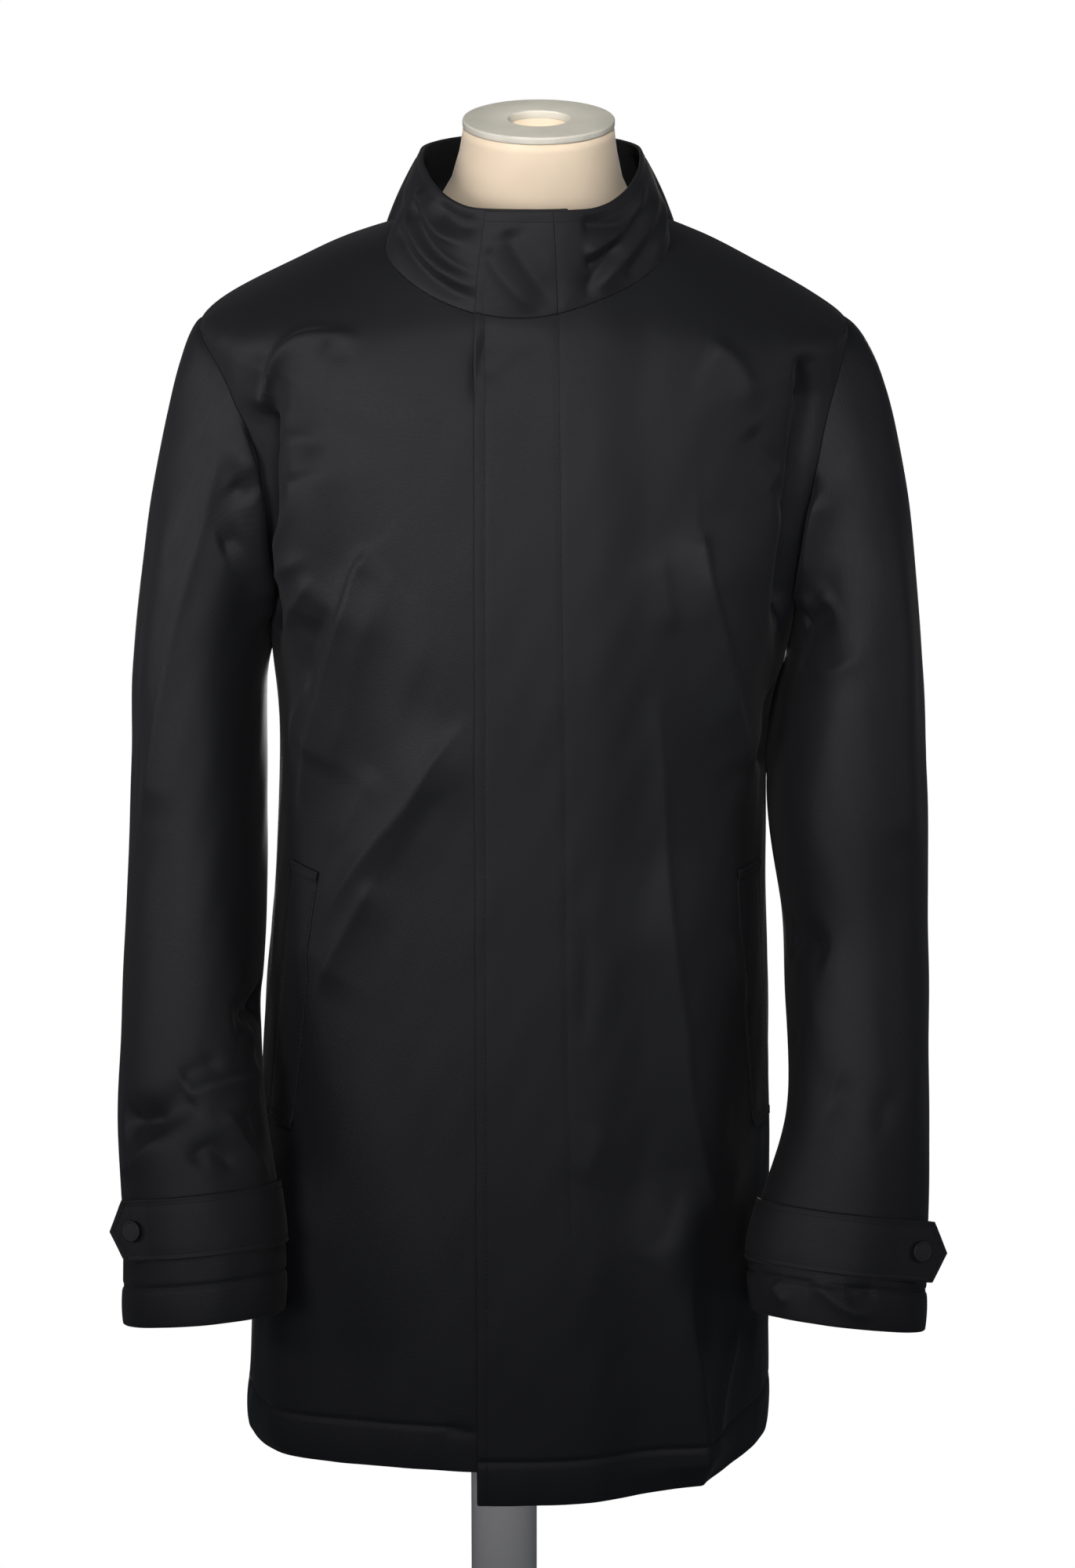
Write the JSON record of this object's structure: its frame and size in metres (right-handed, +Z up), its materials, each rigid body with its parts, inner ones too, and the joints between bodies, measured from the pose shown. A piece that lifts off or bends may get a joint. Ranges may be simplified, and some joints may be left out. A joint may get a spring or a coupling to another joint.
{
  "type": "raincoat on dress form",
  "caption": "Thigh-length raincoat with stand collar, fly front, slanted welt pockets and buttoned cuff tabs, on a limbless dress form with a round-footed stand.",
  "frame": {"origin": "centre of the stand's round foot, on the floor", "axes": "+Z up, -Y towards the coat's front, +X towards the wearer's left"},
  "size_m": [0.58, 0.38, 1.4874],
  "materials": {
    "coat_cloth": "near-black navy coated cotton with a soft sheen",
    "button": "matte dark grey",
    "form_jersey": "cream jersey",
    "cap": "matte grey beige",
    "stand": "satin off-white paint"
  },
  "bodies": {
    "root": {"front_left": "coat_cloth", "front_right": "coat_cloth", "back": "coat_cloth", "sleeve_left": "coat_cloth", "sleeve_right": "coat_cloth", "collar": "coat_cloth", "collar_flap": "coat_cloth", "pocket_welt_left": "coat_cloth", "pocket_welt_right": "coat_cloth", "cuff_tab_left": "coat_cloth", "cuff_tab_right": "coat_cloth", "cuff_button_left": "button", "cuff_button_right": "button", "dress_form": "form_jersey", "neck_cap": "cap", "stand_column": "stand", "stand_base": "stand"}
  },
  "joints": []
}
